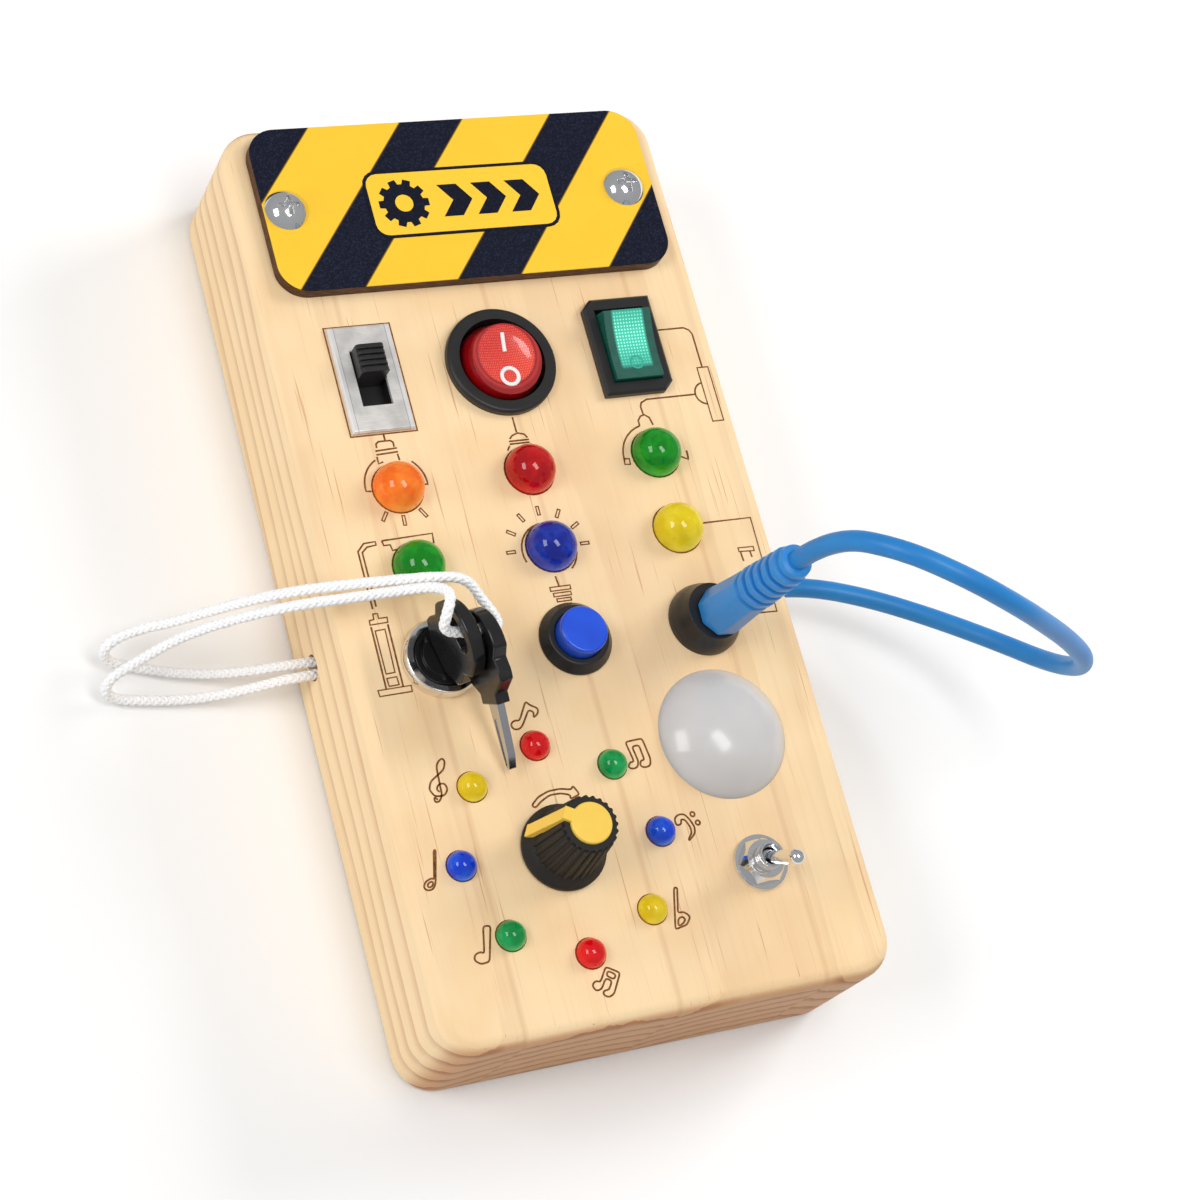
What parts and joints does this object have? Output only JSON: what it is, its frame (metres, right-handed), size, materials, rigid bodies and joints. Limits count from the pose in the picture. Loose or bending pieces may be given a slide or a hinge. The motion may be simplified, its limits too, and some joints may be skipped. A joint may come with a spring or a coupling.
{
  "type": "wooden busy board",
  "caption": "Hollow wooden busy board with switches, coloured lamps, a key lock with keys on a rope, a jack plug on a cord, a selector knob and a toggle switch.",
  "frame": {"origin": "middle of the back face, where the board lies on a table", "axes": "+X to the right seen from the front, +Y along the board towards its sign, +Z out of its face"},
  "size_m": [0.1886, 0.1906, 0.0921],
  "materials": {
    "pine": "planed, clear matt",
    "back_ply": "sanded plywood",
    "steel": "zinc plated",
    "black_plastic": "fine grained",
    "cell_jacket": "printed sleeve",
    "nickel": "nickel plated",
    "sign_paint": "printed, satin",
    "chrome": "polished",
    "red_plastic": "clear tinted, glossy",
    "green_plastic": "clear tinted, glossy",
    "brass": "tinned",
    "orange_lens": "clear tinted, glossy",
    "red_lens": "clear tinted, glossy",
    "green_lens": "clear tinted, glossy",
    "blue_lens": "clear tinted, glossy",
    "yellow_lens": "clear tinted, glossy",
    "circuit_board": "solder mask",
    "black_gloss": "moulded, glossy",
    "blue_plastic": "moulded, satin",
    "cord_blue_hard": "moulded, satin",
    "cord_blue": "soft jacket, satin",
    "sleeve_rubber": "moulded",
    "white_rope": "round braid",
    "knob_yellow": "moulded, satin",
    "milk_lens": "milky, satin"
  },
  "bodies": {
    "board": {"wood_body": "pine", "back_panel": "back_ply", "back_panel_screws": "steel", "battery_tray": "black_plastic", "batteries": "cell_jacket", "battery_contacts": "nickel", "battery_door": "black_plastic", "battery_door_screw": "steel", "sign_plate": "sign_paint", "sign_screws": "chrome", "slide_switch_plate": "steel", "slide_switch_housing": "black_plastic", "round_rocker_housing": "black_plastic", "square_rocker_housing": "black_plastic", "switch_terminals": "brass", "bulb_orange": "orange_lens", "bulb_red": "red_lens", "bulb_green_right": "green_lens", "bulb_green_left": "green_lens", "bulb_blue": "blue_lens", "bulb_yellow": "yellow_lens", "bulb_board": "circuit_board", "bulb_leads": "nickel", "ring_leds_red": "red_lens", "ring_leds_green": "green_lens", "ring_leds_blue": "blue_lens", "ring_leds_yellow": "yellow_lens", "ring_led_board": "circuit_board", "ring_led_leads": "nickel", "push_button_bezel": "black_gloss", "push_button_spring": "steel", "panel_nuts": "black_plastic", "jack_collar": "black_plastic", "jack_socket": "black_plastic", "blue_cord": "cord_blue", "cord_stop": "sleeve_rubber", "lock_bezel": "chrome", "lock_barrel": "nickel", "key_rope": "white_rope", "rope_knot": "white_rope", "selector_switch": "black_plastic", "dome_lens": "milk_lens", "dome_lamp_board": "circuit_board", "toggle_bushing": "chrome", "toggle_body": "black_plastic"},
    "slide_knob": {"slide_switch_knob": "black_plastic"},
    "round_paddle": {"round_rocker_paddle": "red_plastic"},
    "square_paddle": {"square_rocker_paddle": "green_plastic"},
    "button_cap": {"push_button_cap": "blue_plastic"},
    "plug": {"plug_body": "cord_blue_hard", "plug_pin": "nickel"},
    "lock_turning_core": {"lock_core": "black_gloss"},
    "lock_key": {"lock_key_head": "black_gloss", "lock_key_blade": "nickel"},
    "spare_key": {"spare_key_head": "black_gloss", "spare_key_blade": "nickel"},
    "selector": {"selector_knob": "black_plastic", "knob_cap": "knob_yellow", "selector_shaft": "steel"},
    "toggle": {"toggle_lever": "chrome"}
  },
  "joints": [
    {"name": "slide_switch", "type": "slide", "parent": "board", "child": "slide_knob", "axis": [0, -1, 0], "range_m": [0, 0.0055]},
    {"name": "round_rocker", "type": "hinge", "parent": "board", "child": "round_paddle", "pos_m": [-0.0009, 0.0392, 0.029], "axis": [-1, 0, 0], "range_deg": [0, 18]},
    {"name": "square_rocker", "type": "hinge", "parent": "board", "child": "square_paddle", "pos_m": [0.0271, 0.0399, 0.029], "axis": [-1, 0, 0], "range_deg": [0, 16]},
    {"name": "push_button", "type": "slide", "parent": "board", "child": "button_cap", "axis": [0, 0, -1], "range_m": [0, 0.0025], "stiffness_N_per_m": 400, "springref_m": -0.001, "deforming": ["push_button_spring"]},
    {"name": "lock_turn", "type": "hinge", "parent": "board", "child": "lock_turning_core", "pos_m": [-0.0291, -0.0203, 0.031], "axis": [0, 0, -1], "range_deg": [0, 90], "deforming": ["key_rope"]},
    {"name": "key_pull", "type": "slide", "parent": "lock_turning_core", "child": "lock_key", "axis": [0, 0, 1], "range_m": [0, 0.022]},
    {"name": "spare_key_push", "type": "hinge", "parent": "board", "child": "spare_key", "pos_m": [-0.02194, -0.04449, 0.0337], "axis": [0, 0, -1], "range_deg": [0, 18]},
    {"name": "selector", "type": "hinge", "parent": "board", "child": "selector", "pos_m": [-0.0151, -0.06045, 0.031], "axis": [0, 0, -1], "range_deg": [0, 330]},
    {"name": "plug_pull", "type": "slide", "parent": "board", "child": "plug", "axis": [0.1072, -0.0536, 0.9928], "range_m": [0, 0.016], "deforming": ["blue_cord"]},
    {"name": "toggle", "type": "hinge", "parent": "board", "child": "toggle", "pos_m": [0.0239, -0.0699, 0.0348], "axis": [-1, 0, 0], "range_deg": [0, 34]}
  ],
  "couplings": [
    {"joint": "spare_key_push", "follows": "lock_turn", "ratio": 0.2}
  ]
}
